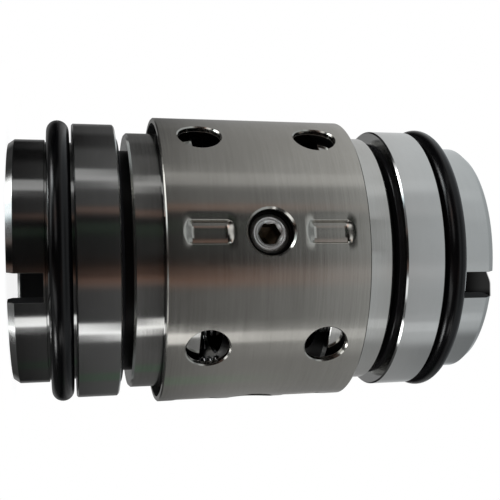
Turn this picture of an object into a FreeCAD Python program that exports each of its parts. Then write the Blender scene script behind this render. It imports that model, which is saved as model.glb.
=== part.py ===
"""Double mechanical seal, balanced on both sides of one drive collar, for a 40 mm shaft.

Two sprung rotary rings face outwards from a drive collar that four set screws lock on the shaft.
A thin retainer sleeve with pressed dimples turns the rings, and each ring runs on its own
stationary seat. Every size is in millimetres. The axis is +Z, and the unit stands on its lower
seat. Heights called h are measured from the mid-plane, outwards to either end.
"""
import FreeCAD, Part
import math
import os

# ---- shaft and drive collar -------------------------------------------------------------------
shaft_radius = 20.0
shaft_fit = 0.03              # radial clearance of the collar and of the O-rings on the shaft
screw_count = 4
screw_radius = 4.0            # M8 set screws
screw_fit = 0.05              # radial clearance that stands for the thread
screw_recess = 1.8            # top of a screw below the outside of the sleeve
screw_tip_lift = 0.35         # tip of a screw above the collar bore
screw_chamfer = 0.5
socket_flats = 4.0            # hexagon socket across flats
socket_depth = 4.0
cup_radius = 2.6              # cup point
cup_depth = 1.0
pocket_floor = 0.45           # metal between a screw hole and a spring pocket
pocket_depth = 2.4
pocket_fit = 0.15             # radial clearance of a spring in its pocket
collar_fit = 0.05             # radial clearance of the collar in the sleeve
collar_chamfer = 0.5

# ---- springs ----------------------------------------------------------------------------------
spring_count = 8              # on each side
spring_radius = 2.0           # outside
spring_wire = 0.6
spring_length = 8.8           # as fitted
spring_turns = 6              # open turns, besides one closed turn at each end
turn_steps = 8                # flats round one turn of the wire

# ---- rotary ring and what it holds ------------------------------------------------------------
ring_bore_gap = 0.3           # ring bore to shaft
shaft_o_ring_section = 3.5
shaft_o_ring_fit = 0.05
thrust_step = 2.55            # thrust ring flange beyond its nose
thrust_flange = 2.0
thrust_nose = 0.9
thrust_fit = 0.1
thrust_set_back = 0.2         # thrust ring inside the rear end of the rotary ring
ring_wall = 1.0               # round the thrust ring
shoulder_height = 1.15
shoulder_length = 5.4
ring_length = 12.8
ring_chamfer = 0.45
face_bore_gap = 0.8           # face insert bore to shaft
face_width = 2.65             # radial width of the sealing face
face_stand_out = 1.6
face_seat_depth = 4.0         # face insert inside the rotary ring
insert_fit = 0.02             # shrink fit of both inserts
insert_chamfer = 0.2

# ---- retainer sleeve --------------------------------------------------------------------------
shoulder_gap = 1.05           # ring shoulder to sleeve
sleeve_wall = 1.15
sleeve_cover = 7.0            # sleeve beyond the rear end of the rotary ring
sleeve_chamfer = 0.25
screw_hole_radius = 4.6
window_radius = 4.3
dimple_length = 9.9           # along the axis, at the sleeve's surface
dimple_width = 5.4
dimple_ramp = 1.6             # axial length of each end slope
dimple_side = 0.55            # width of each side slope
dimple_gap = 0.05             # collar end to dimple
dimple_ring_gap = 0.15        # dimple to the bottom of its slot in the ring
drive_slot_gap = 0.35         # each side of a dimple

# ---- stationary seats -------------------------------------------------------------------------
running_gap = 0.02            # between the sealing faces
seat_bore_gap = 1.0           # seat bore to shaft
seat_face_bore_gap = 1.3
seat_face_margin = 2.65       # seat face beyond the rotary face
seat_face_stand_out = 0.63
seat_face_depth = 4.0
seat_wall = 4.35              # spigot
spigot_length = 7.1
spigot_chamfer_height = 1.25
spigot_chamfer = 0.9
groove_depth = 0.45
groove_width = 5.35
flange_height = 3.45          # flange beyond the spigot
flange_thickness = 8.4
flange_chamfer = 0.45
seat_o_ring_section = 4.5
seat_o_ring_lift = {"lower": 0.5, "upper": 0.05}     # O-ring from the flange
pin_slot_width = 5.4
pin_slot_end = 0.5            # metal between the slot's end and the O-ring groove
bore_chamfer = 0.5

# ---- angles, turned about +Z from the -Y direction --------------------------------------------
row_angle = -22.4             # first row of screw and dimples
pin_slot_angle = 0.0

# ---- radii worked out from the shaft outwards -------------------------------------------------
collar_bore = shaft_radius + shaft_fit
ring_bore = shaft_radius + ring_bore_gap
o_ring_seat = collar_bore + shaft_o_ring_section + shaft_o_ring_fit
thrust_seat = o_ring_seat + thrust_step
thrust_radius = thrust_seat - thrust_fit
ring_radius = thrust_seat + ring_wall
shoulder_radius = ring_radius + shoulder_height
sleeve_bore = shoulder_radius + shoulder_gap
sleeve_radius = sleeve_bore + sleeve_wall
collar_radius = sleeve_bore - collar_fit
spring_circle = (ring_bore + thrust_radius) / 2
face_bore = shaft_radius + face_bore_gap
face_radius = face_bore + face_width
seat_bore = shaft_radius + seat_bore_gap
seat_face_bore = shaft_radius + seat_face_bore_gap
seat_face_radius = face_radius + seat_face_margin
spigot_radius = seat_bore + seat_wall
land_radius = spigot_radius - groove_depth
flange_radius = spigot_radius + flange_height

# ---- heights from the mid-plane outwards ------------------------------------------------------
screw_hole = screw_radius + screw_fit
spring_foot = screw_hole + pocket_floor
collar_end = spring_foot + pocket_depth
dimple_centre = collar_end + dimple_gap + dimple_length / 2
thrust_rear = spring_foot + spring_length
ring_rear = thrust_rear - thrust_set_back
thrust_step_end = thrust_rear + thrust_flange
thrust_nose_end = thrust_step_end + thrust_nose
o_ring_end = thrust_nose_end + shaft_o_ring_section
sleeve_end = ring_rear + sleeve_cover
shoulder_end = ring_rear + shoulder_length
ring_front = ring_rear + ring_length
face_front = ring_front + face_stand_out
seat_front = face_front + running_gap
flange_front = seat_front + seat_face_stand_out
flange_back = flange_front + flange_thickness
spigot_start = flange_back + groove_width
seat_end = spigot_start + spigot_length
pin_slot_foot = spigot_start + pin_slot_end
mid_height = seat_end

ORIGIN = FreeCAD.Vector(0, 0, 0)
UP = FreeCAD.Vector(0, 0, 1)
SIDES = {"lower": -1, "upper": 1}


def turned(outline):
    """Solid of revolution about the axis from (radius, h) corners."""
    corners = [FreeCAD.Vector(radius, 0, h) for radius, h in outline]
    face = Part.Face(Part.makePolygon(corners + corners[:1]))
    return face.revolve(ORIGIN, UP, 360)


def tube(inner, outer, low, high, chamfer=0.0, bore_edge=0.0):
    """Turned ring with chamfers outside and in its bore."""
    outline = [(inner + bore_edge, low), (outer - chamfer, low)]
    if chamfer:
        outline += [(outer, low + chamfer), (outer, high - chamfer)]
    outline.append((outer - chamfer, high))
    outline.append((inner + bore_edge, high))
    if bore_edge:
        outline += [(inner, high - bore_edge), (inner, low + bore_edge)]
    return turned(outline)


def turn(shape, angle):
    """Copy of a shape turned about the axis."""
    copy = shape.copy()
    copy.rotate(ORIGIN, UP, angle)
    return copy


def round_the_axis(shape, count, first=0.0):
    return [turn(shape, first + 360 * place / count) for place in range(count)]


def radial_hole(radius, inner, outer, h=0.0):
    """Cylinder that runs outwards along -Y."""
    start = FreeCAD.Vector(0, -inner, h)
    return Part.makeCylinder(radius, outer - inner, start, FreeCAD.Vector(0, -1, 0))


def radial_rectangle(width, length, radius, h):
    """Rectangle across -Y at a distance from the axis."""
    corners = [(-width / 2, -length / 2), (width / 2, -length / 2),
               (width / 2, length / 2), (-width / 2, length / 2)]
    points = [FreeCAD.Vector(x, -radius, h + z) for x, z in corners]
    return Part.makePolygon(points + points[:1])


def dimple_block(grow, bottom, top):
    """Tapered block of one dimple, grown all round, between two distances from the axis."""
    depth = sleeve_radius - dimple_bottom
    reach = (top - bottom) / depth
    width = dimple_width - 2 * dimple_side + 2 * grow
    length = dimple_length - 2 * dimple_ramp + 2 * grow
    floor = radial_rectangle(width, length, bottom, dimple_centre)
    mouth = radial_rectangle(width + 2 * dimple_side * reach, length + 2 * dimple_ramp * reach,
                             top, dimple_centre)
    return Part.makeLoft([floor, mouth], True, True)


dimple_tip = ring_radius + dimple_ring_gap
dimple_bottom = dimple_tip + sleeve_wall


def on_side(shape, side):
    """Place a shape modelled with h upwards on one side of the mid-plane."""
    placed = shape if SIDES[side] > 0 else shape.mirror(ORIGIN, UP)
    placed.translate(UP * mid_height)
    return placed


def retainer_sleeve():
    half = turned([(sleeve_bore, 0), (sleeve_radius, 0), (sleeve_radius, sleeve_end - sleeve_chamfer),
                   (sleeve_radius - sleeve_chamfer, sleeve_end), (sleeve_bore, sleeve_end)])
    pressed = dimple_block(sleeve_wall / 2, dimple_tip, sleeve_bore + sleeve_wall / 2)
    punch = dimple_block(0, dimple_bottom, sleeve_radius + sleeve_wall)
    window = radial_hole(window_radius, sleeve_bore - 1, sleeve_radius + 1, dimple_centre)
    half = half.fuse(round_the_axis(pressed, screw_count, row_angle))
    half = half.cut(round_the_axis(punch, screw_count, row_angle))
    half = half.cut(round_the_axis(window, screw_count, row_angle + 180 / screw_count))
    sleeve = half.fuse(half.mirror(ORIGIN, UP))
    hole = radial_hole(screw_hole_radius, sleeve_bore - 1, sleeve_radius + 1)
    sleeve = sleeve.cut(round_the_axis(hole, screw_count, row_angle)).removeSplitter()
    sleeve.translate(UP * mid_height)
    return sleeve


def drive_collar():
    collar = tube(collar_bore, collar_radius, -collar_end, collar_end, collar_chamfer, bore_chamfer)
    hole = radial_hole(screw_hole, collar_bore - 1, collar_radius + 1)
    pocket = Part.makeCylinder(spring_radius + pocket_fit, pocket_depth + 1,
                               FreeCAD.Vector(0, -spring_circle, spring_foot))
    pockets = round_the_axis(pocket, spring_count, row_angle)
    collar = collar.cut(round_the_axis(hole, screw_count, row_angle))
    collar = collar.cut(pockets + [pocket.mirror(ORIGIN, UP) for pocket in pockets])
    collar.translate(UP * mid_height)
    return collar


def set_screw():
    """Hexagon socket set screw with a cup point, along -Y."""
    top = sleeve_radius - screw_recess
    tip = collar_bore + screw_tip_lift
    outline = [(0, tip + cup_depth), (cup_radius, tip), (screw_radius - screw_chamfer, tip),
               (screw_radius, tip + screw_chamfer), (screw_radius, top - screw_chamfer),
               (screw_radius - screw_chamfer, top), (0, top)]
    screw = turned(outline)
    corner = socket_flats / math.sqrt(3)
    hexagon = [FreeCAD.Vector(corner * math.cos(math.radians(60 * side)),
                              corner * math.sin(math.radians(60 * side)), top - socket_depth)
               for side in range(6)]
    socket = Part.Face(Part.makePolygon(hexagon + hexagon[:1]))
    screw = screw.cut(socket.extrude(UP * (socket_depth + 1)))
    screw.rotate(ORIGIN, FreeCAD.Vector(1, 0, 0), 90)
    return screw


def coil_spring():
    """Round-wound compression spring with closed and ground ends, on the spring circle."""
    open_rise = (spring_length - 2 * spring_wire) / spring_turns
    steps = (spring_turns + 2) * turn_steps
    mean_radius = spring_radius - spring_wire / 2
    sections = []
    for step in range(steps + 1):
        turns = step / turn_steps
        open_turns = min(max(turns - 1, 0), spring_turns)
        closed_turns = turns - open_turns
        rise = open_turns * open_rise + closed_turns * spring_wire
        corners = [FreeCAD.Vector(mean_radius + across * spring_wire / 2, 0, rise + up * spring_wire / 2)
                   for across, up in ((-1, 0), (0, -1), (1, 0), (0, 1))]
        section = Part.makePolygon(corners + corners[:1])
        section.rotate(ORIGIN, UP, 360 * turns)
        sections.append(section)
    coil = Part.makeLoft(sections, True, True)
    ground = Part.makeCylinder(spring_radius + 1, spring_length)
    coil = coil.common(ground)
    coil.translate(FreeCAD.Vector(0, -spring_circle, spring_foot))
    return coil


def springs():
    return Part.makeCompound(round_the_axis(coil_spring(), spring_count, row_angle))


def thrust_ring():
    nose_radius = o_ring_seat - thrust_fit
    return turned([(ring_bore, thrust_rear), (thrust_radius, thrust_rear),
                   (thrust_radius, thrust_step_end), (nose_radius, thrust_step_end),
                   (nose_radius, thrust_nose_end), (ring_bore, thrust_nose_end)])


def shaft_o_ring():
    return Part.makeTorus(collar_bore + shaft_o_ring_section / 2, shaft_o_ring_section / 2,
                          UP * (thrust_nose_end + shaft_o_ring_section / 2), UP)


def rotary_ring():
    face_seat = ring_front - face_seat_depth
    ring = turned([
        (thrust_seat, ring_rear), (shoulder_radius, ring_rear), (shoulder_radius, shoulder_end),
        (ring_radius, shoulder_end), (ring_radius, ring_front - ring_chamfer),
        (ring_radius - ring_chamfer, ring_front), (face_radius + insert_fit, ring_front),
        (face_radius + insert_fit, face_seat), (ring_bore, face_seat),
        (ring_bore, o_ring_end + shaft_o_ring_fit), (o_ring_seat, o_ring_end + shaft_o_ring_fit),
        (o_ring_seat, thrust_step_end), (thrust_seat, thrust_step_end)])
    slot_width = dimple_width + sleeve_wall + 2 * drive_slot_gap
    slot = Part.makeBox(slot_width, shoulder_height + 1, shoulder_length + 2,
                        FreeCAD.Vector(-slot_width / 2, -shoulder_radius - 1, ring_rear - 1))
    slot = slot.cut(Part.makeCylinder(ring_radius, shoulder_length + 2, UP * (ring_rear - 1)))
    return ring.cut(round_the_axis(slot, screw_count, row_angle))


def face_insert():
    face_seat = ring_front - face_seat_depth
    return turned([(face_bore, face_seat), (face_radius, face_seat),
                   (face_radius, face_front - insert_chamfer), (face_radius - insert_chamfer, face_front),
                   (face_bore, face_front)])


def seat_face():
    return turned([(seat_face_bore, seat_front), (seat_face_radius - insert_chamfer, seat_front),
                   (seat_face_radius, seat_front + insert_chamfer),
                   (seat_face_radius, flange_front + seat_face_depth),
                   (seat_face_bore, flange_front + seat_face_depth)])


def seat_ring():
    seat = turned([
        (seat_bore, flange_front + seat_face_depth),
        (seat_face_radius + insert_fit, flange_front + seat_face_depth),
        (seat_face_radius + insert_fit, flange_front), (flange_radius - flange_chamfer, flange_front),
        (flange_radius, flange_front + flange_chamfer), (flange_radius, flange_back - flange_chamfer),
        (flange_radius - flange_chamfer, flange_back), (land_radius, flange_back),
        (land_radius, spigot_start), (spigot_radius, spigot_start),
        (spigot_radius, seat_end - spigot_chamfer_height), (spigot_radius - spigot_chamfer, seat_end),
        (seat_bore + bore_chamfer, seat_end), (seat_bore, seat_end - bore_chamfer)])
    slot = Part.makeBox(pin_slot_width, spigot_radius + 1, seat_end - pin_slot_foot + 1,
                        FreeCAD.Vector(-pin_slot_width / 2, -spigot_radius - 1, pin_slot_foot))
    return seat.cut(turn(slot, pin_slot_angle))


def seat_o_ring(side):
    radius = seat_o_ring_section / 2
    return Part.makeTorus(land_radius + radius, radius,
                          UP * (flange_back + seat_o_ring_lift[side] + radius), UP)


os.makedirs("parts", exist_ok=True)
pieces = {"retainer_sleeve": retainer_sleeve(), "drive_collar": drive_collar()}
for number, screw in enumerate(round_the_axis(set_screw(), screw_count, row_angle), 1):
    screw.translate(UP * mid_height)
    pieces[f"set_screw_{number}"] = screw
for side in SIDES:
    pieces[f"{side}_springs"] = on_side(springs(), side)
    pieces[f"{side}_thrust_ring"] = on_side(thrust_ring(), side)
    pieces[f"{side}_shaft_o_ring"] = on_side(shaft_o_ring(), side)
    pieces[f"{side}_rotary_ring"] = on_side(rotary_ring(), side)
    pieces[f"{side}_face_insert"] = on_side(face_insert(), side)
    pieces[f"{side}_seat_face"] = on_side(seat_face(), side)
    pieces[f"{side}_seat_ring"] = on_side(seat_ring(), side)
    pieces[f"{side}_seat_o_ring"] = on_side(seat_o_ring(side), side)
for name, piece in pieces.items():
    piece.exportStep(f"parts/{name}.step")
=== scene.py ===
import math

import bmesh
import bpy
import numpy as np
from mathutils import Matrix, Vector


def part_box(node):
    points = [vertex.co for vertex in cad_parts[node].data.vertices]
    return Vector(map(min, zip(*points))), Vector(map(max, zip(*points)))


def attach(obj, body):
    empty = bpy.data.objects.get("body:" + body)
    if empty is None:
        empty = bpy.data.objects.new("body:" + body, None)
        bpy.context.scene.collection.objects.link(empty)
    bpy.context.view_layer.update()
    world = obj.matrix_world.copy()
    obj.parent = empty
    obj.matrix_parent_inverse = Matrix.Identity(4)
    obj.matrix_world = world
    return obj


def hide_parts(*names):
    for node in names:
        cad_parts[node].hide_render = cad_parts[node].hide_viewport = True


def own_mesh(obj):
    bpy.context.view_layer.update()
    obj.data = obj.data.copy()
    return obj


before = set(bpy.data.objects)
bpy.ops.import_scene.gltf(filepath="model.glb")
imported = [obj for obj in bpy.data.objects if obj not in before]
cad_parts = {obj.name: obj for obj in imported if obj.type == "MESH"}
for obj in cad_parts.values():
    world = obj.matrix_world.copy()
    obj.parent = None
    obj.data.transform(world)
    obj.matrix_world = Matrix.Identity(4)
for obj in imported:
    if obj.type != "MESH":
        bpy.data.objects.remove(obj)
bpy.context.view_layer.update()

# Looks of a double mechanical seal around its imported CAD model. The axis is +Z, the unit stands on
# its lower seat, and every length is in metres once a size in millimetres is multiplied by MM.
MM = 0.001
SIDES = {"lower": -1, "upper": 1}
COLUMNS = 256                    # round a turned piece
NOTCH_COLUMNS = 13               # across one of its notches
SCREW_COLUMNS = 48
THREAD_LAYERS = 60
WIRE_SIDES = 10
SHARP = math.radians(20)

# ---- sizes in millimetres; heights are measured from the mid-plane outwards -------------------
row_angle = math.radians(-22.4)  # first row of screw and dimples, about +Z from -Y
rows = 4
edge_break = 0.12
insert_fit = 0.02                # a face insert or seat face in its recess

sleeve_wall = 1.15
sleeve_chamfer = 0.25
window_rim = 0.26                # broken edge round a window
screw_rim = 0.40                 # and round a screw hole
screw_hole = 4.6
window = 4.3
dimple_centre = 11.9
dimple_floor = (2.0, 3.35)       # half width and half length of a dimple's floor
dimple_depth = (0.85, 2.05)      # in the outside and in the bore
dimple_crown = 0.34              # how much higher the floor's middle is than its sides
dimple_wall = (0.45, 1.75)       # reach of the wall, round the axis and along it
dimple_round = 0.5               # share by which the end walls are shorter at their corners
dimple_bend = 1.55               # how much the wall steepens towards the floor
dimple_halo = 2.2                # reach of a shallow dent, from the floor outwards
halo_depth = 0.2
halo_bend = 2.2                  # how much the dent deepens towards the wall
row_tile = math.radians(10.5)    # half angle of the column that holds a screw hole and dimples
window_tile = math.radians(9.9)
hole_tile = 6.6                  # half height of the tile round a screw hole
dimple_tile = 17.35              # where the tiles round dimples and windows end

screw_radius = 4.0
screw_chamfer = 0.5
screw_crown = 0.7                # chamfer at the socket end
screw_rings = (                  # turned into the socket end: radius and depth
    (3.2, 0), (3.08, 0.02), (2.95, 0.16), (2.85, 0.14), (2.7, 0), (2.6, 0))
thread_pitch = 1.25
thread_depth = 0.32
thread_fade = 0.5                # where the thread runs out at either end
socket_flats = 4.0
socket_depth = 4.0
socket_drill = 0.9               # drilled cone under the socket
socket_lead = 0.48               # chamfer of the socket's mouth
socket_sink = 0.08               # and how far below the end it starts
cup_radius = 2.6
cup_depth = 1.0

spring_count = 8
spring_wire = 0.6
spring_outside = 2.0
spring_turns = 6                 # open turns, besides a closed one at each end
spring_circle = 23.165
spring_travel = 2.5

thrust_seat = 26.13              # rotary ring: bores and outside, from the rear end
thrust_nose = 0.9                # thrust ring's nose, inside the bore behind the O-ring
o_ring_seat = 23.58
o_ring_fit = 0.05
ring_bore = 20.3
ring_radius = 27.13
shoulder_length = 5.4
shoulder_fillet = 1.9            # its length along the axis
drive_slot = 7.25
ring_chamfer = 0.45
face_depth = 4.0                 # inserts set into the rotary ring and the seat
face_bore = 20.8
seat_face_bore = 21.3
insert_chamfer = 0.2

flange_chamfer = 0.3
land_radius = 24.9
land_end = 41.9
spigot_radius = 25.35
spigot_chamfer = (0.9, 1.25)     # across and along the axis
pin_slot = 5.6
pin_slot_angle = {"lower": math.radians(-1.05), "upper": math.radians(1.05)}
pin_slot_foot = 42.4
o_ring_slip = {"lower": 0.0, "upper": 0.5}   # how far the seat O-ring has slid off its flange
bore_chamfer = 0.9
seat_bore = 21.0
flange_end = 36.55

sleeve_foot, sleeve_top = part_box("retainer_sleeve")
mid = (sleeve_foot.z + sleeve_top.z) / 2
sleeve_radius = sleeve_top.y / MM
sleeve_end = (sleeve_top.z - mid) / MM
sleeve_bore = sleeve_radius - sleeve_wall


def span(node):
    """Outside radius of a node, and its nearest and furthest height from the mid-plane, in millimetres."""
    low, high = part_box(node)
    ends = sorted((abs(low.z - mid), abs(high.z - mid)))
    return high.y / MM, ends[0] / MM, ends[1] / MM


# ---- shader and geometry maths ----------------------------------------------------------------
class Value:
    """An output socket that node maths is written with."""

    def __init__(self, graph, socket):
        self.graph, self.socket = graph, socket

    def maths(self, operation, *terms):
        return self.graph.add("ShaderNodeMath", {"operation": operation}, dict(enumerate(terms)))

    def __add__(self, other):
        return self.maths("ADD", self, other)

    def __radd__(self, other):
        return self.maths("ADD", other, self)

    def __sub__(self, other):
        return self.maths("SUBTRACT", self, other)

    def __rsub__(self, other):
        return self.maths("SUBTRACT", other, self)

    def __mul__(self, other):
        return self.maths("MULTIPLY", self, other)

    def __rmul__(self, other):
        return self.maths("MULTIPLY", other, self)

    def __truediv__(self, other):
        return self.maths("DIVIDE", self, other)

    def __pow__(self, other):
        return self.maths("POWER", self, other)

    def __abs__(self):
        return self.maths("ABSOLUTE", self)

    def between(self, low, high):
        return self.maths("MINIMUM", self.maths("MAXIMUM", self, low), high)


class Graph:
    """Adds nodes to a node tree."""

    def __init__(self, tree):
        self.tree = tree
        tree.nodes.clear()

    def add(self, kind, settings=None, inputs=None, output=0):
        node = self.tree.nodes.new(kind)
        for key, value in (settings or {}).items():
            if key == "stops":
                ramp = node.color_ramp.elements
                ramp[0].position, ramp[0].color = value[0][0], (*value[0][1], 1)
                ramp[1].position, ramp[1].color = value[-1][0], (*value[-1][1], 1)
                for place, colour in value[1:-1]:
                    ramp.new(place).color = (*colour, 1)
            elif key == "interpolation":
                node.color_ramp.interpolation = value
            else:
                setattr(node, key, value)
        for key, value in (inputs or {}).items():
            if isinstance(value, Value):
                self.tree.links.new(value.socket, node.inputs[key])
            else:
                node.inputs[key].default_value = value
        return Value(self, node.outputs[output]) if len(node.outputs) else node

    def vector(self, x, y, z):
        return self.add("ShaderNodeCombineXYZ", inputs={0: x, 1: y, 2: z})

    def part_of(self, vector, axis):
        return self.add("ShaderNodeSeparateXYZ", inputs={0: vector}, output=axis)

    def dot(self, vector, other):
        return self.add("ShaderNodeVectorMath", {"operation": "DOT_PRODUCT"}, {0: vector, 1: other},
                        output="Value")

    def mix(self, share, first, second):
        return self.add("ShaderNodeMix", {"data_type": "RGBA"}, {0: share, 6: first, 7: second}, output=2)

    def step(self, value, start, end, low=0.0, high=1.0):
        """Smooth step from low to high as value goes from start to end."""
        return self.add("ShaderNodeMapRange", {"interpolation_type": "SMOOTHSTEP"},
                        {"Value": value, "From Min": start, "From Max": end, "To Min": low, "To Max": high})

    def noise(self, vector, scale, detail=2.0, roughness=0.5):
        return self.add("ShaderNodeTexNoise", inputs={
            "Vector": vector, "Scale": scale, "Detail": detail, "Roughness": roughness})


class Finish(Graph):
    """A material, with what its patterns are laid on."""

    def __init__(self, name):
        self.material = bpy.data.materials.new(name)
        self.material.use_nodes = True
        super().__init__(self.material.node_tree)
        self.place = self.add("ShaderNodeTexCoord", output="Object")
        self.x, self.y, self.height = (self.part_of(self.place, axis) for axis in range(3))
        self.radius = (self.x * self.x + self.y * self.y) ** 0.5

    def tool_marks(self, per_mm, wander, seed, detail=2.0):
        """Fine lines round the axis, which follow both bores and end faces."""
        along = (self.height + self.radius * 0.61) * (per_mm / MM) + seed
        x_round, y_round = self.x / self.radius, self.y / self.radius
        return self.noise(self.vector(x_round * wander, y_round * wander, along), 1.0, detail, 0.6)

    def bump(self, height, distance):
        """Normal of a relief that is distance high where height goes from 0 to 1."""
        return self.add("ShaderNodeBump", inputs={"Height": height, "Distance": distance, "Strength": 1.0})

    def surface(self, **sockets):
        """The material, with its principled sockets given by short names."""
        names = {"colour": "Base Color", "roughness": "Roughness", "metal": "Metallic",
                 "normal": "Normal", "anisotropic": "Anisotropic", "turn": "Anisotropic Rotation",
                 "specular": "Specular IOR Level"}
        inputs = {names[key]: value for key, value in sockets.items()}
        shader = self.add("ShaderNodeBsdfPrincipled", inputs=inputs)
        self.add("ShaderNodeOutputMaterial", inputs={"Surface": shader})
        return self.material


PAINTED_SHADE = (0.008, 0.0085, 0.01, 1)     # painted shade: near-black colour for steel in bores and slot walls


def steel(name, colour, dark, rough, lined, seed, shaded=None):
    """Machined stainless steel: tool marks round the axis, a slow cloudiness and faint handling marks.

    shaded gives the places that get painted shade, near black and dull, such as bores, as a share from 0 to
    1.
    """
    finish = Finish(name)
    marks = finish.tool_marks(2.6, 2.2, seed, 3.0) - 0.5
    wide = finish.tool_marks(0.7, 1.2, seed + 40) - 0.5
    scratch = finish.step(finish.tool_marks(4.0, 7.0, seed + 80), 0.6, 0.75) * lined
    cloud = finish.noise(finish.place, 70.0, 3.0, 0.55) - 0.5
    smear = finish.step(finish.noise(finish.place, 260.0, 4.0, 0.6), 0.55, 0.8)
    shade = marks * (0.8 * lined) + wide * (0.5 * lined) + cloud * 0.9 - scratch * 0.3 + 0.55
    tone = finish.mix(shade.between(0, 1), (*dark, 1), (*colour, 1))
    gloss = rough + marks * (0.07 * lined) + wide * (0.05 * lined) + cloud * 0.04 + smear * 0.03
    gloss, metal = gloss.between(0.04, 0.9), 1.0
    if shaded:
        # painted shade: the shaded places are mixed to near black, made dull and not metallic
        share = shaded(finish)
        tone = finish.mix(share, tone, PAINTED_SHADE)
        gloss, metal = gloss + share * 0.85, 1 - share
    return finish.surface(
        colour=tone, roughness=gloss, metal=metal, anisotropic=0.7, turn=0.25,
        normal=finish.bump(marks * 0.7 + wide * 0.8 - scratch * 0.3, 0.005 * MM * lined))


def seat_inside(finish):
    """Share of painted shade: the bore of a seat and the walls of its pin slot."""
    bore = 1 - finish.step(finish.radius, (seat_bore + 0.3) * MM, (seat_bore + 0.4) * MM)
    rise = finish.height - mid
    lean = finish.step(rise, -MM, MM) * 2 - 1        # -1 in the lower seat and 1 in the upper one
    beside = abs(finish.x - abs(finish.y) * math.sin(pin_slot_angle["upper"]) * lean)
    between = 1 - finish.step(beside, (pin_slot / 2 + 0.03) * MM, (pin_slot / 2 + 0.06) * MM)
    past_foot = finish.step(abs(rise), (pin_slot_foot - 0.05) * MM, pin_slot_foot * MM)
    slot = between * past_foot * finish.step(finish.y, 0, -MM)
    return bore.maths("MAXIMUM", bore, slot)


def sleeve_inside(finish):
    """Share of painted shade: the bore of the sleeve."""
    return 1 - finish.step(finish.radius, (sleeve_bore + 0.05) * MM, (sleeve_bore + 0.15) * MM)


turned_steel = steel("turned_steel", (0.72, 0.72, 0.70), (0.54, 0.535, 0.51), 0.13, 0.75, 3.0)
# painted shade: near-black steel for the drive collar and thrust rings, which sit in shadow inside the
# sleeve
inner_steel = steel("inner_steel", (0.009, 0.0085, 0.008), (0.005, 0.005, 0.0045), 0.3, 0.75, 3.0)
seat_steel = steel("seat_steel", (0.73, 0.735, 0.725), (0.57, 0.57, 0.56), 0.13, 0.3, 17.0, seat_inside)
sleeve_steel = steel("brushed_sleeve", (0.67, 0.655, 0.61), (0.51, 0.495, 0.455), 0.155, 0.75, 29.0,
                     sleeve_inside)


def wire_finish():
    """Drawn spring wire: a slight grain and no turning direction."""
    finish = Finish("spring_wire")
    grain = finish.noise(finish.place, 2600.0, 3.0, 0.6)
    cloud = finish.noise(finish.place, 511.0, 2.0, 0.5)
    return finish.surface(
        colour=finish.mix(cloud, (0.48, 0.48, 0.48, 1), (0.60, 0.60, 0.60, 1)),
        roughness=(0.28 + (grain - 0.5) * 0.14 + (cloud - 0.5) * 0.1).between(0.05, 0.9),
        metal=1.0, normal=finish.bump(grain, 0.004 * MM))


def screw_finish():
    """Bright worn steel, with painted shade, dark brown, in its hexagon socket."""
    finish = Finish("set_screw")
    c, s = math.cos(row_angle), math.sin(row_angle)
    beside, other = (abs(finish.dot(finish.place, way)) for way in ((c, s, 0), (-s, c, 0)))
    off = beside.maths("MINIMUM", beside, other)
    rise = finish.height - mid
    reach = (off * off + rise * rise) ** 0.5
    near_axis = 1 - finish.step(reach, 2.45 * MM, 2.6 * MM)
    sunk = 1 - finish.step(finish.radius, 28.0 * MM, 28.3 * MM)
    # painted shade: the socket below the screw's end is coloured dark brown
    socket = near_axis * sunk
    grain = finish.noise(finish.place, 2600.0, 3.0, 0.6)
    rings = finish.noise(finish.vector(reach * (5.0 / MM), 0, 0), 1.0, 2.0, 0.5)
    cloud = finish.noise(finish.place, 500.0, 2.0, 0.5)
    worn = finish.mix(cloud * 0.5 + rings * 0.5, (0.75, 0.75, 0.74, 1), (0.97, 0.97, 0.96, 1))
    return finish.surface(
        colour=finish.mix(socket, worn, (0.12, 0.10, 0.07, 1)),
        roughness=(0.32 + (grain - 0.5) * 0.14 + (rings - 0.5) * 0.3).between(0.05, 0.9),
        metal=1.0, normal=finish.bump(rings, 0.06 * MM))


screw_steel = screw_finish()
spring_steel = wire_finish()


def stone(name, colour, rough, specular, seed):
    """Lapped sealing faces and rubber: a fine grain in colour, gloss and relief."""
    finish = Finish(name)
    grain = finish.noise(finish.place, 3200.0 + seed, 4.0, 0.65)
    cloud = finish.noise(finish.place, 190.0 + seed, 3.0, 0.5)
    pale = tuple(part * 1.7 for part in colour)
    return finish.surface(
        colour=finish.mix((grain * 0.5 + cloud * 0.6).between(0, 1), (*colour, 1), (*pale, 1)),
        roughness=(rough + (grain - 0.5) * 0.16 + (cloud - 0.5) * 0.12).between(0.05, 0.95),
        metal=0.0, specular=specular, normal=finish.bump(grain, 0.006 * MM))


carbon = stone("carbon_face", (0.003, 0.003, 0.0035), 0.32, 0.12, 7)
hard_face = stone("hard_face", (0.006, 0.006, 0.007), 0.18, 0.2, 13)
rubber = stone("o_ring", (0.0012, 0.0012, 0.0016), 0.2, 0.35, 23)


# ---- meshes -----------------------------------------------------------------------------------
def spin(points, angle):
    """Points turned about the axis, which may have an angle each."""
    c, s = np.cos(angle), np.sin(angle)
    x, y, z = np.moveaxis(np.asarray(points, float), -1, 0)
    return np.stack([x * c - y * s, x * s + y * c, z], -1)


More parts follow.
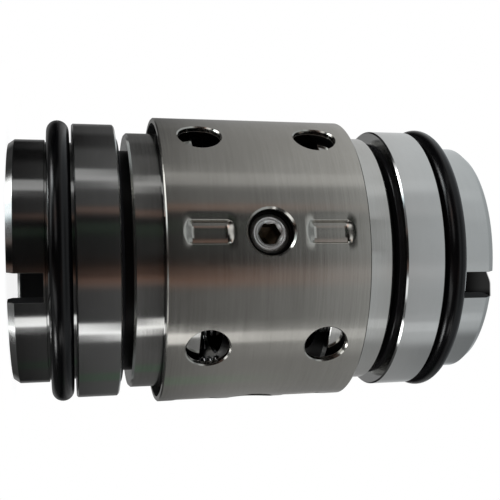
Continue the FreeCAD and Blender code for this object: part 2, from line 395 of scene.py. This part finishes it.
class Skin:
    """Grids of points stitched into one closed mesh."""

    def __init__(self):
        self.points, self.faces, self.count = [], [], 0

    def grid(self, points, closed=False, flip=False):
        """Faces of a grid look along its first direction crossed with its second."""
        first, second = points.shape[:2]
        places = np.arange(first * second).reshape(first, second) + self.count
        if closed:
            places = np.hstack([places, places[:, :1]])
        corners = [places[:-1, :-1], places[1:, :-1], places[1:, 1:], places[:-1, 1:]]
        faces = np.stack(corners, -1).reshape(-1, 4)
        self.points.append(points.reshape(-1, 3))
        self.faces.append(faces[:, ::-1] if flip else faces)
        self.count += first * second

    def piece(self, name, material, sharp=SHARP):
        mesh = bpy.data.meshes.new(name)
        mesh.from_pydata(np.concatenate(self.points) * MM, [], np.concatenate(self.faces).tolist())
        work = bmesh.new()
        work.from_mesh(mesh)
        bmesh.ops.remove_doubles(work, verts=work.verts, dist=0.0008 * MM)
        bmesh.ops.dissolve_degenerate(work, dist=0.0008 * MM, edges=work.edges)
        work.to_mesh(mesh)
        work.free()
        mesh.shade_smooth()
        mesh.set_sharp_from_angle(angle=sharp)
        mesh.materials.append(material)
        piece = bpy.data.objects.new(name, mesh)
        bpy.context.scene.collection.objects.link(piece)
        return piece


def turned(name, material, outline, cut=None, notches=0, notch_width=0.0, first=0.0, sharp=SHARP):
    """Turned piece from a closed outline of (radius, height) corners, in millimetres.

    In its notches, whose side walls are flat, the piece has the outline called cut.
    """
    full = np.array(outline, float)
    cut = full if cut is None else np.array(cut, float)
    following = np.roll(full, -1, 0)
    if (full[:, 0] * following[:, 1] - following[:, 0] * full[:, 1]).sum() < 0:
        full, cut = full[::-1], cut[::-1]

    def column(corners, angles):
        points = np.stack([0 * corners[:, 0], -corners[:, 0], corners[:, 1]], -1)
        return spin(points, angles)

    def wall(corners):
        return np.arcsin(notch_width / 2 / corners[:, 0])

    columns = []
    if not notches:
        columns = [column(full, 2 * math.pi * place / COLUMNS) for place in range(COLUMNS)]
    sector = 2 * math.pi / max(notches, 1)
    for number in range(notches):
        centre = first + number * sector
        for share in np.linspace(-1, 1, NOTCH_COLUMNS):
            columns.append(column(cut, centre + share * wall(cut)))
        for share in np.linspace(0, 1, COLUMNS // notches + 1):
            columns.append(column(full, centre + wall(full) + share * (sector - 2 * wall(full))))
    skin = Skin()
    skin.grid(np.stack(columns + columns[:1]), closed=True)
    return skin.piece(name, material, sharp)


def at_side(outline, side):
    """An outline whose heights are measured from the mid-plane, set at its end of the unit."""
    return [(radius, mid / MM + SIDES[side] * height) for radius, height in outline]


def ring_outline(section, centre_radius, centre_height, steps=40):
    """Round section of a ring."""
    return [(centre_radius + section / 2 * math.cos(2 * math.pi * step / steps),
             centre_height + section / 2 * math.sin(2 * math.pi * step / steps)) for step in range(steps)]


def graded(start, end, steps, bend=1.0):
    """Places from start to end, which lie closer together at the start where bend is over 1."""
    return start + (end - start) * np.linspace(0, 1, steps + 1) ** bend


def on_cylinder(x, z, radius):
    """Points of a cylinder, on the side that faces -Y."""
    return np.stack([x, -np.sqrt(radius ** 2 - x ** 2), z], -1)


def lattice(lines, heights, radius):
    """Grid on a cylinder, with lines along the axis at angles from -Y and lines round it at heights."""
    x, z = np.meshgrid(radius * np.sin(lines), heights, indexing="ij")
    return on_cylinder(x, z, radius)


def border(lines, heights, radius):
    """The (x, z) places of a lattice's border, once round."""
    x = radius * np.sin(lines)
    low, high = heights[0], heights[-1]
    sides = [(x[:-1], low + 0 * x[:-1]), (x[-1] + 0 * heights[:-1], heights[:-1]),
             (x[:0:-1], high + 0 * x[:0:-1]), (x[0] + 0 * heights[:0:-1], heights[:0:-1])]
    return np.concatenate([np.stack(side, -1) for side in sides])


def pressed(points, centre, grow, bottom):
    """Presses a dimple into a lattice. Its crowned floor has the radius called bottom at its sides.

    The floor is larger by grow to each side, as it is in the bore, and the dent ends at the same place.
    """
    floor_x, floor_z = dimple_floor
    wall_x, wall_z = dimple_wall
    across = np.maximum(np.abs(points[..., 0]) - floor_x - grow, 0)
    along = np.maximum(np.abs(points[..., 2] - centre) - floor_z - grow, 0)
    middle = 1 - np.minimum(np.abs(points[..., 0]) / floor_x, 1) ** 2
    reach = wall_z * (1 - dimple_round * (1 - middle))
    steep = np.clip(1 - np.hypot(across / wall_x, along / reach), 0, 1) ** dimple_bend
    shallow = np.clip(1 - np.hypot(across, along) / (dimple_halo - grow), 0, 1) ** halo_bend
    surface = points[..., 1] + halo_depth * shallow
    points = points.copy()
    points[..., 1] = surface + (-bottom - dimple_crown * middle - surface) * steep
    return points


def punched(skin, lines, heights, centre, hole, rim_chamfer, turn):
    """Tile of the sleeve with a hole through both walls, and a broken outer rim."""
    outside = border(lines, heights, sleeve_radius)
    way = outside - (0, centre)
    way = way / np.linalg.norm(way, axis=1, keepdims=True)
    rims = {}
    for radius, rim in ((sleeve_radius, hole + rim_chamfer), (sleeve_bore, hole)):
        edge = border(lines, heights, radius)
        circle = way * rim + (0, centre)
        flat = np.stack([circle + (edge - circle) * share for share in graded(0, 1, 6, 1.5)])
        points = on_cylinder(flat[..., 0], flat[..., 1], radius)
        rims[radius] = points[0]
        skin.grid(spin(points, turn), closed=True, flip=radius == sleeve_bore)
    circle = way * hole + (0, centre)
    lip = on_cylinder(circle[:, 0], circle[:, 1], sleeve_radius) + (0, rim_chamfer, 0)
    wall = np.stack([rims[sleeve_radius], lip, (lip + rims[sleeve_bore]) / 2, rims[sleeve_bore]])
    skin.grid(spin(wall, turn), closed=True, flip=True)


def retainer_sleeve():
    """Thin sleeve with punched holes and windows, and pressed dimples that drive the rotary rings.

    Both walls are lattices in tiles: the rows' tiles hold a screw hole between two dimples, the tiles
    between them hold two windows, and plain tiles join them.
    """
    # the lattices' lines, which lie close together at the dimples' walls
    floor_x, floor_z = dimple_floor
    wall_x, wall_z = dimple_wall
    tile_x = sleeve_radius * math.sin(row_tile)
    half = np.concatenate([graded(0, floor_x, 8)[:-1], graded(floor_x, floor_x + wall_x, 10, 1.4)[:-1],
                           graded(floor_x + wall_x, tile_x, 12)])
    row_lines = np.arcsin(np.concatenate([-half[:0:-1], half]) / sleeve_radius)
    window_lines = np.linspace(-window_tile, window_tile, 33)
    plain_lines = np.linspace(row_tile, math.pi / rows - window_tile, 18)

    near = np.concatenate([graded(0, floor_z, 6)[:-1], graded(floor_z, floor_z + wall_z, 12, 1.4)[:-1],
                           graded(floor_z + wall_z, floor_z + dimple_halo - 0.3, 4)])
    side_lines = np.concatenate([
        [hole_tile], dimple_centre - near[:0:-1], dimple_centre + near, [dimple_tile]])
    hole_lines = np.linspace(-hole_tile, hole_tile, 27)
    end_lines = np.array([dimple_tile, (dimple_tile + sleeve_end) / 2, sleeve_end - sleeve_chamfer])
    end_outline = [(sleeve_radius, end_lines[-1]), (sleeve_radius - sleeve_chamfer, sleeve_end),
                   (sleeve_bore, sleeve_end)]

    skin = Skin()
    for number in range(rows):
        turn = row_angle + number * 2 * math.pi / rows
        middle = turn + math.pi / rows
        plain = [(plain_lines, turn), (-plain_lines[::-1], turn)]
        for radius, flip in ((sleeve_radius, False), (sleeve_bore, True)):
            last = np.append(end_lines[:-1], sleeve_end) if flip else end_lines
            grow, bottom = 0, sleeve_radius - dimple_depth[0]
            if flip:
                grow, bottom = sleeve_wall / 2, sleeve_bore - dimple_depth[1]
            for sign in (1, -1):
                ends, beside = sign * last[::sign], sign * side_lines[::sign]
                dimple = pressed(lattice(row_lines, beside, radius), sign * dimple_centre, grow, bottom)
                skin.grid(spin(dimple, turn), flip=flip)
                skin.grid(spin(lattice(row_lines, ends, radius), turn), flip=flip)
                skin.grid(spin(lattice(window_lines, ends, radius), middle), flip=flip)
                for heights in (ends, beside):
                    for lines, where in plain:
                        skin.grid(spin(lattice(lines, heights, radius), where), flip=flip)
            for lines, where in [(window_lines, middle), *plain]:
                skin.grid(spin(lattice(lines, hole_lines, radius), where), flip=flip)
        punched(skin, row_lines, hole_lines, 0, screw_hole, screw_rim, turn)
        for sign in (1, -1):
            punched(skin, window_lines, sign * side_lines[::sign], sign * dimple_centre, window, window_rim,
                    middle)
            for lines, where in [(row_lines, turn), (window_lines, middle), *plain]:
                strip = np.stack([on_cylinder(radius * np.sin(lines), sign * height + 0 * lines, radius)
                                  for radius, height in end_outline], 1)
                skin.grid(spin(strip, where), flip=sign < 0)
    for points in skin.points:
        points[:, 2] += mid / MM
    return skin.piece("sleeve", sleeve_steel)


def rotary_ring(side):
    """Ring with a shoulder at its rear, a curved fillet behind it and four drive slots in the shoulder."""
    shoulder, rear, front = span(f"{side}_rotary_ring")
    face = span(f"{side}_face_insert")[0] + insert_fit
    bore_step = span(f"{side}_thrust_ring")[2] - thrust_nose
    o_ring_end = span(f"{side}_shaft_o_ring")[2] + o_ring_fit
    shoulder_end = rear + shoulder_length
    step = shoulder - ring_radius
    outline = [
        (thrust_seat, rear), (shoulder - edge_break, rear), (shoulder, rear + edge_break),
        *[(shoulder - step * share * (2 - share), shoulder_end + shoulder_fillet * share)
          for share in np.linspace(0, 1, 9)],
        (ring_radius, front - ring_chamfer), (ring_radius - ring_chamfer, front), (face, front),
        (face, front - face_depth), (ring_bore, front - face_depth), (ring_bore, o_ring_end),
        (o_ring_seat, o_ring_end), (o_ring_seat, bore_step), (thrust_seat, bore_step)]
    cut = [(min(radius, ring_radius), height) for radius, height in outline]
    cut[1] = cut[2] = (ring_radius, rear)
    return turned(f"{side}_ring", turned_steel, at_side(outline, side), at_side(cut, side), rows,
                  drive_slot, row_angle)


def face_insert(side):
    """Black sealing face, which stands out of its rotary ring."""
    radius, back, front = span(f"{side}_face_insert")
    outline = [(face_bore, back), (radius, back), (radius, front - insert_chamfer),
               (radius - insert_chamfer, front), (face_bore + edge_break, front),
               (face_bore, front - edge_break)]
    return turned(f"{side}_nose", carbon, at_side(outline, side))


def seat_face(side):
    """Dark hard face that is let into a seat."""
    radius, front, back = span(f"{side}_seat_face")
    outline = [(seat_face_bore, front + edge_break), (seat_face_bore + edge_break, front),
               (radius - insert_chamfer, front), (radius, front + insert_chamfer), (radius, back),
               (seat_face_bore, back)]
    return turned(f"{side}_lapped_face", hard_face, at_side(outline, side))


def seat_ring(side):
    """Seat with a flange, a groove for its O-ring, and a spigot with one pin slot."""
    flange, front, end = span(f"{side}_seat_ring")
    face = span(f"{side}_seat_face")[0] + insert_fit
    nose_radius, nose_height = spigot_radius - spigot_chamfer[0], end - spigot_chamfer[1]
    outline = [
        (seat_bore, front + face_depth), (face, front + face_depth), (face, front),
        (flange - flange_chamfer, front), (flange, front + flange_chamfer),
        (flange, flange_end - flange_chamfer), (flange - flange_chamfer, flange_end),
        (land_radius, flange_end), (land_radius, land_end), (spigot_radius - edge_break, land_end),
        (spigot_radius, land_end + edge_break), (spigot_radius, pin_slot_foot),
        (spigot_radius, nose_height), (nose_radius, end), (seat_bore + bore_chamfer, end),
        (seat_bore, end - bore_chamfer), (seat_bore, pin_slot_foot)]
    cut = outline[:12] + [outline[11]] * 2 + [outline[16]] * 3
    return turned(f"{side}_seat", seat_steel, at_side(outline, side), at_side(cut, side), 1, pin_slot,
                  pin_slot_angle[side])


def seat_o_ring(side):
    """Round rubber ring behind a seat's flange."""
    outside, near, far = span(f"{side}_seat_o_ring")
    section = far - near
    outline = ring_outline(section, outside - section / 2, (near + far) / 2 + o_ring_slip[side])
    return turned(f"{side}_outer_o_ring", rubber, at_side(outline, side), sharp=math.pi)


# ---- geometry node trees ----------------------------------------------------------------------
class Tree(Graph):
    """A geometry node tree with named inputs, which ends in Realize Instances and Set Material."""

    def __init__(self, name, sockets):
        tree = bpy.data.node_groups.new(name, "GeometryNodeTree")
        super().__init__(tree)
        tree.is_modifier = True
        tree.interface.new_socket("Geometry", in_out="OUTPUT", socket_type="NodeSocketGeometry")
        kinds = {"Geometry": "Geometry", "Material": "Material", "Count": "Int"}
        for socket in ["Geometry", *sockets, "Material"]:
            kind = f"NodeSocket{kinds.get(socket, 'Float')}"
            tree.interface.new_socket(socket, in_out="INPUT", socket_type=kind)

    def input(self, name):
        return self.add("NodeGroupInput", output=name)

    def end(self, geometry):
        real = self.add("GeometryNodeRealizeInstances", inputs={0: geometry})
        smooth = self.add("GeometryNodeSetShadeSmooth", inputs={0: real})
        material = self.input("Material")
        painted = self.add("GeometryNodeSetMaterial", inputs={0: smooth, "Material": material})
        self.add("NodeGroupOutput", inputs={0: painted})
        return self.tree


def coil_tree():
    """A coil spring wound up +Z from its foot, with closed and ground ends."""
    tree = Tree("coil_spring", ["Wire Radius", "Mean Radius", "Length", "Open Turns", "Steps Per Turn"])
    wire, mean, length, turns, per_turn = (tree.input(name) for name in (
        "Wire Radius", "Mean Radius", "Length", "Open Turns", "Steps Per Turn"))
    steps = (turns + 2) * per_turn + 1
    line = tree.add("GeometryNodeCurvePrimitiveLine")
    path = tree.add("GeometryNodeResampleCurve", inputs={"Curve": line, "Count": steps})
    wound = tree.add("GeometryNodeInputIndex") / per_turn
    opened = (wound - 1).maths("MAXIMUM", wound - 1, 0)
    opened = opened.maths("MINIMUM", opened, turns)
    rise = opened * ((length - wire * 4) / turns) + (wound - opened) * (wire * 2)   # closed turns touch
    angle = wound * (2 * math.pi)
    spot = tree.vector(mean * angle.maths("COSINE", angle), mean * angle.maths("SINE", angle), rise)
    coil = tree.add("GeometryNodeSetPosition", inputs={"Geometry": path, "Position": spot})
    section = tree.add("GeometryNodeCurvePrimitiveCircle", inputs={
        "Resolution": WIRE_SIDES, "Radius": wire})
    tube = tree.add("GeometryNodeCurveToMesh", inputs={
        "Curve": coil, "Profile Curve": section, "Fill Caps": True})
    place = tree.add("GeometryNodeInputPosition")
    height = tree.part_of(place, 2)
    ground = height.maths("MINIMUM", height.maths("MAXIMUM", height, 0), length)
    flat = tree.vector(tree.part_of(place, 0), tree.part_of(place, 1), ground)
    return tree.end(tree.add("GeometryNodeSetPosition", inputs={"Geometry": tube, "Position": flat}))


def placing_tree():
    """Sets copies of a small piece round the axis, tilted about X and turned to face outwards."""
    tree = Tree("round_the_axis", ["Count", "First Angle", "Tilt", "Circle Radius", "Height"])
    count, first, tilt, circle, height = (tree.input(name) for name in (
        "Count", "First Angle", "Tilt", "Circle Radius", "Height"))
    angle = first + tree.add("GeometryNodeInputIndex") * (2 * math.pi) / count
    beside, ahead = circle * angle.maths("SINE", angle), circle * angle.maths("COSINE", angle)
    spot = tree.vector(beside, 0 - ahead, height)
    points = tree.add("GeometryNodePoints", inputs={"Count": count, "Position": spot})
    turned_to = tree.vector(tilt, 0, angle)
    return tree.end(tree.add("GeometryNodeInstanceOnPoints", inputs={
        "Points": points, "Instance": tree.input("Geometry"), "Rotation": turned_to}))


def made_by(piece, *steps):
    """Runs geometry node trees on a piece and keeps the result as its plain mesh."""
    for tree, values in steps:
        modifier = piece.modifiers.new(tree.name, "NODES")
        modifier.node_group = tree
        for item in tree.interface.items_tree:
            if item.in_out == "INPUT" and item.name in values:
                modifier[item.identifier] = values[item.name]
    bpy.context.view_layer.update()
    evaluated = piece.evaluated_get(bpy.context.evaluated_depsgraph_get())
    mesh = bpy.data.meshes.new_from_object(evaluated)
    piece.modifiers.clear()
    mesh.name = piece.name
    piece.data = mesh


COIL = coil_tree()
ROUND = placing_tree()


def springs(side):
    """Eight springs between the drive collar and a thrust ring."""
    foot, top = span(f"{side}_springs")[1:]
    coils = bpy.data.objects.new(f"{side}_coils", bpy.data.meshes.new(f"{side}_coils"))
    bpy.context.scene.collection.objects.link(coils)
    wire = spring_wire / 2 * MM
    made_by(
        coils,
        (COIL, {"Wire Radius": wire, "Mean Radius": spring_outside * MM - wire,
                "Length": (top - foot) * MM, "Open Turns": float(spring_turns), "Steps Per Turn": 24.0,
                "Material": spring_steel}),
        (ROUND, {"Count": spring_count, "First Angle": row_angle, "Circle Radius": spring_circle * MM,
                 "Tilt": 0.0 if side == "upper" else math.pi, "Height": mid + SIDES[side] * foot * MM,
                 "Material": spring_steel}))
    coils.data.set_sharp_from_angle(angle=math.radians(40))
    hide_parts(f"{side}_springs")
    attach(coils, "drive_unit")
    mid + SIDES[side] * foot * MM
    1 - spring_travel / (top - foot)
    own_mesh(coils)


def set_screw(number):
    """Hexagon socket set screw with a thread and a cup point."""
    turn = row_angle + (number - 1) * 2 * math.pi / rows
    outward = Vector((math.sin(turn), -math.cos(turn), 0))
    reaches = [corner.co.dot(outward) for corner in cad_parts[f"set_screw_{number}"].data.vertices]
    length, tip = (max(reaches) - min(reaches)) / MM, min(reaches)
    around = np.linspace(0, 2 * math.pi, SCREW_COLUMNS + 1)[:-1]
    hexagon = socket_flats / 2 / np.cos((around + math.pi / 6) % (math.pi / 3) - math.pi / 6)
    mouth = socket_flats / 2 + socket_lead
    layers = [(0, cup_depth), (cup_radius, 0), (screw_radius - screw_chamfer, 0)]
    thread_start, thread_end = screw_chamfer, length - screw_crown
    for height in np.linspace(thread_start, thread_end, THREAD_LAYERS):
        phase = (height / thread_pitch - around / (2 * math.pi)) % 1
        groove = np.clip(1.35 - np.abs(phase - 0.5) * 3.4, 0, 1)       # with a flat root and crest
        fade = min((height - thread_start) / thread_fade, (thread_end - height) / thread_fade, 1)
        layers.append((screw_radius - thread_depth * groove * fade, height))
    layers.append((screw_radius - screw_crown, length - 0.06))
    layers += [(radius, length - below) for radius, below in screw_rings]
    layers += [(mouth, length - socket_sink), (hexagon, length - socket_sink - (mouth - hexagon) * 1.1),
               (hexagon, length - socket_depth), (0, length - socket_depth - socket_drill)]
    points = np.stack([np.stack([radius * np.cos(around), radius * np.sin(around), height + 0 * around], -1)
                       for radius, height in layers])
    skin = Skin()
    skin.grid(points, closed=True, flip=True)
    screw = skin.piece(f"screw_{number}", screw_steel)
    made_by(screw, (ROUND, {"Count": 1, "First Angle": turn, "Tilt": math.pi / 2, "Circle Radius": tip,
                            "Height": mid, "Material": screw_steel}))
    screw.data.set_sharp_from_angle(angle=SHARP)
    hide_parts(f"set_screw_{number}")
    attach(screw, f"set_screw_{number}")


# ---- camera, floor and studio -----------------------------------------------------------------
camera_side = math.radians(12.2)                   # where the camera stands, about -Z from -Y
camera_distance = 0.20576
camera_height = 0.00995
camera_turn = Vector((2.613, -15.521, -0.926))     # degrees, about along, across and away
fill_light = 0.78                                  # of the room on dull surfaces
floor_radius = 0.042
floor_share = 0.12                                 # of the floor's light that comes from the room

along = Vector((0, 0, 1))
across = Vector((math.cos(camera_side), -math.sin(camera_side), 0))
away = Vector((math.sin(camera_side), math.cos(camera_side), 0))
turning = Matrix.Rotation(math.radians(camera_turn.length), 3, camera_turn.normalized())
to_right, to_down, forward = (row[0] * along + row[1] * across + row[2] * away for row in turning)
lens = bpy.data.cameras.new("camera")
lens.lens, lens.sensor_width = 67.27, 36
lens.shift_x, lens.shift_y = -0.1433, 0.1062
lens.clip_start, lens.clip_end = 0.01, 20
camera = bpy.data.objects.new("camera", lens)
camera.matrix_world = Matrix((to_right, -to_down, -forward)).transposed().to_4x4()
camera.location = camera_distance * -away + Vector((0, 0, camera_height))
bpy.context.scene.collection.objects.link(camera)
bpy.context.scene.camera = camera
bpy.context.scene.view_settings.view_transform = "Standard"


def seen(graph):
    """Two masks of the rays: those that show a thing to the camera, and those that mirror it."""
    names = ("Is Camera Ray", "Is Transmission Ray", "Is Glossy Ray")
    camera_ray, clear_ray, glossy = (graph.add("ShaderNodeLightPath", output=name) for name in names)
    return camera_ray.maths("MAXIMUM", camera_ray, clear_ray), glossy


def studio():
    """White backdrop for the camera, and a dim room that steel mirrors, with strip lights and windows.

    Every feature has a bearing and a rise in degrees. A bearing goes round the unit's axis, from the
    camera's side at 0 towards the top of its view, and a rise goes towards +Z.
    """
    world = bpy.data.worlds.new("studio")
    bpy.context.scene.world = world
    world.use_nodes = True
    graph = Graph(world.node_tree)
    way = graph.add("ShaderNodeTexCoord", output="Generated")
    front = graph.dot(way, tuple(-away))
    above = graph.dot(way, tuple(-across))
    bearing = front.maths("ARCTAN2", above, front) * (180 / math.pi)
    rise = graph.part_of(way, 2).between(-1, 1)
    rise = rise.maths("ARCSINE", rise) * (180 / math.pi)

    def by_rise(*stops):
        """Brightness that goes in straight lines from stop to stop of (rise, brightness)."""
        ramp = graph.add("ShaderNodeValToRGB", {"interpolation": "LINEAR", "stops": [
            ((angle + 90) / 180, (tone, tone, tone)) for angle, tone in stops]}, {0: (rise + 90) / 180})
        return graph.part_of(ramp, 0)

    def patch(centre, half, soft):
        """1 within half of a bearing, with soft sides."""
        return 1 - graph.step(abs(bearing - centre), half - soft / 2, half + soft / 2)

    # the room, bright towards +Z, and the darker parts of it
    room = by_rise((-90, 0.20), (-40, 0.06), (-14, 0.03), (-7, 0.001), (-2, 0.010), (2, 0.065), (5, 0.10),
                   (6.5, 0.16), (10, 0.29), (16.5, 0.38), (18, 0.58), (22, 0.68), (26, 0.54), (60, 0.42),
                   (90, 0.38))
    between = patch(3, 57, 14) * by_rise(
        (-90, 0.2), (0, 0.2), (5, 0.33), (10, 0.44), (16, 0.54), (18, 0.08), (22, 0.28), (25, 0))
    camera_gap = patch(16, 22, 10) * by_rise(
        (-90, 0.98), (8, 0.95), (13, 0.93), (16, 0.45), (18.5, 0.12), (23, 0.1), (26, 0.05))
    near_gap = patch(-4, 14, 22) * by_rise((-90, 0.5), (10, 0.45), (17, 0.2), (20, 0.03), (90, 0))
    low_side = patch(-119, 36, 20) * by_rise(
        (-90, 0), (6, 0), (10, 0.12), (17, 0.34), (20, 0.34), (22, 0.55), (26, 0.62), (60, 0.2), (90, 0))
    over_camera = patch(0, 50, 24) * by_rise((-90, 0), (38, 0), (42, 0.5), (56, 0.5), (60, 0))
    upper_gap = patch(117, 12, 12) * by_rise(
        (-40, 0), (-30, 0.9), (-2, 0.9), (2, 0.78), (4.5, 0.3), (6.5, 0.08), (8, 0))
    right_gap = patch(46, 16, 6) * by_rise((12, 0), (16, 0.22), (18, 0.22), (18.5, 0))
    low_half = patch(-95, 75, 20) * by_rise((-90, 0), (11, 0), (17, 0.24), (26, 0.2), (40, 0.1), (90, 0))

    # two strip lights along the axis, which bow at both ends
    bow = graph.step(rise, 2.4, 4.2, 0, 7.6) + graph.step(rise, -6, -4, 7, 0)
    upper_strip = patch(74 - bow, 6, 2) * by_rise(
        (-22, 0), (-18, 0.36), (4.5, 0.34), (6, 0.14), (10, 0.08), (17, 0.12), (18.5, 0.03), (30, 0))
    lower_strip = patch(-56.5 - bow, 5, 2) * by_rise(
        (-22, 0), (-18, 1.35), (2, 1.3), (6, 1.5), (8, 0.66), (10, 0.27), (17, 0.3), (18.5, 0.03),
        (22, 0.2), (26, 0.01), (40, 0))

    # windows, the two ends of a lit table, and the wall behind
    windows = (patch(94, 20, 3) * 1.6 + patch(-44, 14, 6) * 1.1 + patch(-95, 6, 4) * 0.8) * by_rise(
        (-80, 0), (-74, 1), (-42, 1), (-36, 0))
    wall_behind = graph.step(abs(bearing), 148, 162) * by_rise(
        (-60, 0), (-40, 0.2), (-8, 0.2), (0, 0.12), (6, 0))
    table_ends = (patch(91, 12, 4) * 6 + patch(-88, 10, 4) * 7) * by_rise(
        (-54, 0), (-51, 1), (-42, 1), (-39, 0))
    low_window = patch(40, 22, 8) * by_rise((-46, 0), (-40, 0.9), (-28, 0.9), (-23, 0))

    # faint glows: beside the camera, in front of it, above it, and two low ones towards +Z
    beside_glow = (patch(-17.5, 4, 7) + patch(41.5, 2, 5) * 0.7) * by_rise(
        (-9, 0), (-3, 0.028), (4, 0.055), (9, 0.035), (13, 0))
    front_glow = patch(12, 20, 8) * by_rise((-1, 0), (2, 0.003), (5, 0.019), (8, 0.012), (13, 0))
    upper_glow = patch(27, 4, 6) * by_rise((-24, 0), (-20, 0.013), (5, 0.008), (9, 0))
    lower_glow = patch(-76, 7, 8) * by_rise((19, 0), (21, 0.07), (23, 0.07), (24, 0))
    near_glow = patch(-38, 16, 6) * by_rise((20, 0), (21.5, 0.06), (23, 0.06), (24.5, 0))
    glow = beside_glow + front_glow + upper_glow + lower_glow + near_glow

    shown, glossy = seen(graph)
    lit = room * (1 - between) * (1 - camera_gap) * (1 - near_gap) * (1 - low_side) * (1 - over_camera)
    lit = lit * (1 - upper_gap) * (1 - right_gap) * (1 - low_half)
    lit = lit + upper_strip + lower_strip + windows + wall_behind + table_ends + low_window + glow

    # straight behind the unit steel mirrors the white backdrop
    behind = graph.step(abs(bearing), 166, 171) * graph.step(rise, 6, 14) * (1 - graph.step(rise, 60, 68))
    lit = lit * (1 - behind) + behind

    # and a patch of painted shade in it, with a faint gradient, which the camera sees through the upper pin
    # slot as the dark inside
    slot_shade_edge = graph.step(abs(bearing), 178.2, 179.3, 25.74, 25.5)
    slot_shade_span = patch(-178.35, 0.95, 0.1)
    past_slot_shade = graph.step(rise - slot_shade_edge, -0.05, 0.05)
    painted_slot_shade = slot_shade_span * graph.step(rise, 23.5, 23.6) * (1 - past_slot_shade)
    slot_shade_gradient = graph.step(rise, 24.2, 25.5, 0.003, 0.024) * graph.step(abs(bearing), 177.5, 178, 0.1, 1)
    backdrop = 1 - painted_slot_shade * (1 - slot_shade_gradient)
    strength = shown * backdrop + (1 - shown) * (glossy * lit + (1 - glossy) * fill_light)

    # tints of what the unit mirrors
    mirrored = 1 - shown
    warm = patch(-10, 10, 12) * by_rise((-90, 1), (10, 0.9), (15, 0.3), (19, 0)) + patch(
        41, 4, 5) * by_rise((-90, 0.7), (10, 0.6), (18, 0))
    green = (patch(26, 6, 6) * 0.9 + patch(-112, 6, 6) * 0.7) * by_rise(
        (-24, 0), (-20, 1), (4, 0.9), (12, 0))
    sky = (patch(88, 2, 3) + patch(76, 3, 4)) * by_rise((-42, 0.9), (-38, 0))
    cool = by_rise((-90, 0.3), (6, 0), (17, 0), (25, 1), (90, 1))
    tint = (1, 1, 1, 1)
    for share, colour in ((warm, (1.6, 0.88, 0.62)), (green, (0.72, 1.3, 0.82)), (sky, (0.42, 0.6, 0.66)),
                          (cool, (0.94, 1.0, 1.03))):
        tint = graph.mix(share * mirrored, tint, (*colour, 1))
    back = graph.add("ShaderNodeBackground", inputs={"Color": tint, "Strength": strength})
    graph.add("ShaderNodeOutputWorld", inputs={"Surface": back})


def floor():
    """Small round white floor, which keeps a faint shadow and fades into the backdrop."""
    mesh = bpy.data.meshes.new("floor")
    work = bmesh.new()
    bmesh.ops.create_circle(work, cap_ends=True, segments=128, radius=floor_radius)
    bmesh.ops.translate(work, verts=work.verts, vec=(0, 0, -0.05 * MM))
    work.to_mesh(mesh)
    work.free()
    ground = bpy.data.objects.new("floor", mesh)
    bpy.context.scene.collection.objects.link(ground)
    cloth = Finish("floor")
    share = cloth.step(cloth.radius, 0.024, floor_radius * 0.98, floor_share, 0.0)
    shown, glossy = seen(cloth)
    glow = cloth.add("ShaderNodeEmission", inputs={"Color": (1, 1, 1, 1), "Strength": (1 - share) * shown})
    lit = cloth.add("ShaderNodeBsdfDiffuse", inputs={
        "Color": cloth.mix(share / floor_share, (0, 0, 0, 1), (0.28, 0.28, 0.28, 1))})
    both = cloth.add("ShaderNodeAddShader", inputs={0: glow, 1: lit})
    clear = cloth.add("ShaderNodeBsdfTransparent")
    surface = cloth.add("ShaderNodeMixShader", inputs={0: glossy, 1: both, 2: clear})
    cloth.add("ShaderNodeOutputMaterial", inputs={"Surface": surface})
    mesh.materials.append(cloth.material)


studio()
floor()

# ---- the unit ---------------------------------------------------------------------------------
sleeve = retainer_sleeve()
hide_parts("retainer_sleeve")
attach(sleeve, "drive_unit")
for number in range(1, rows + 1):
    set_screw(number)
for side in SIDES:
    springs(side)
    for make, node, slot, body in (
            (rotary_ring, "rotary_ring", "turned_steel", "face"),
            (face_insert, "face_insert", "carbon_face", "face"),
            (seat_face, "seat_face", "hard_face", "seat"),
            (seat_ring, "seat_ring", "seat_steel", "seat"),
            (seat_o_ring, "seat_o_ring", "o_ring", "seat")):
        piece = make(side)
        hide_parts(f"{side}_{node}")
        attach(piece, f"{side}_{body}")

# painted shade: the hidden pieces inside the sleeve get the near-black steel
carried = {"drive_collar": inner_steel}
for side in SIDES:
    carried[f"{side}_thrust_ring"] = inner_steel
    carried[f"{side}_shaft_o_ring"] = rubber
for node, material in carried.items():
    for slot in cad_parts[node].material_slots:
        slot.material = material
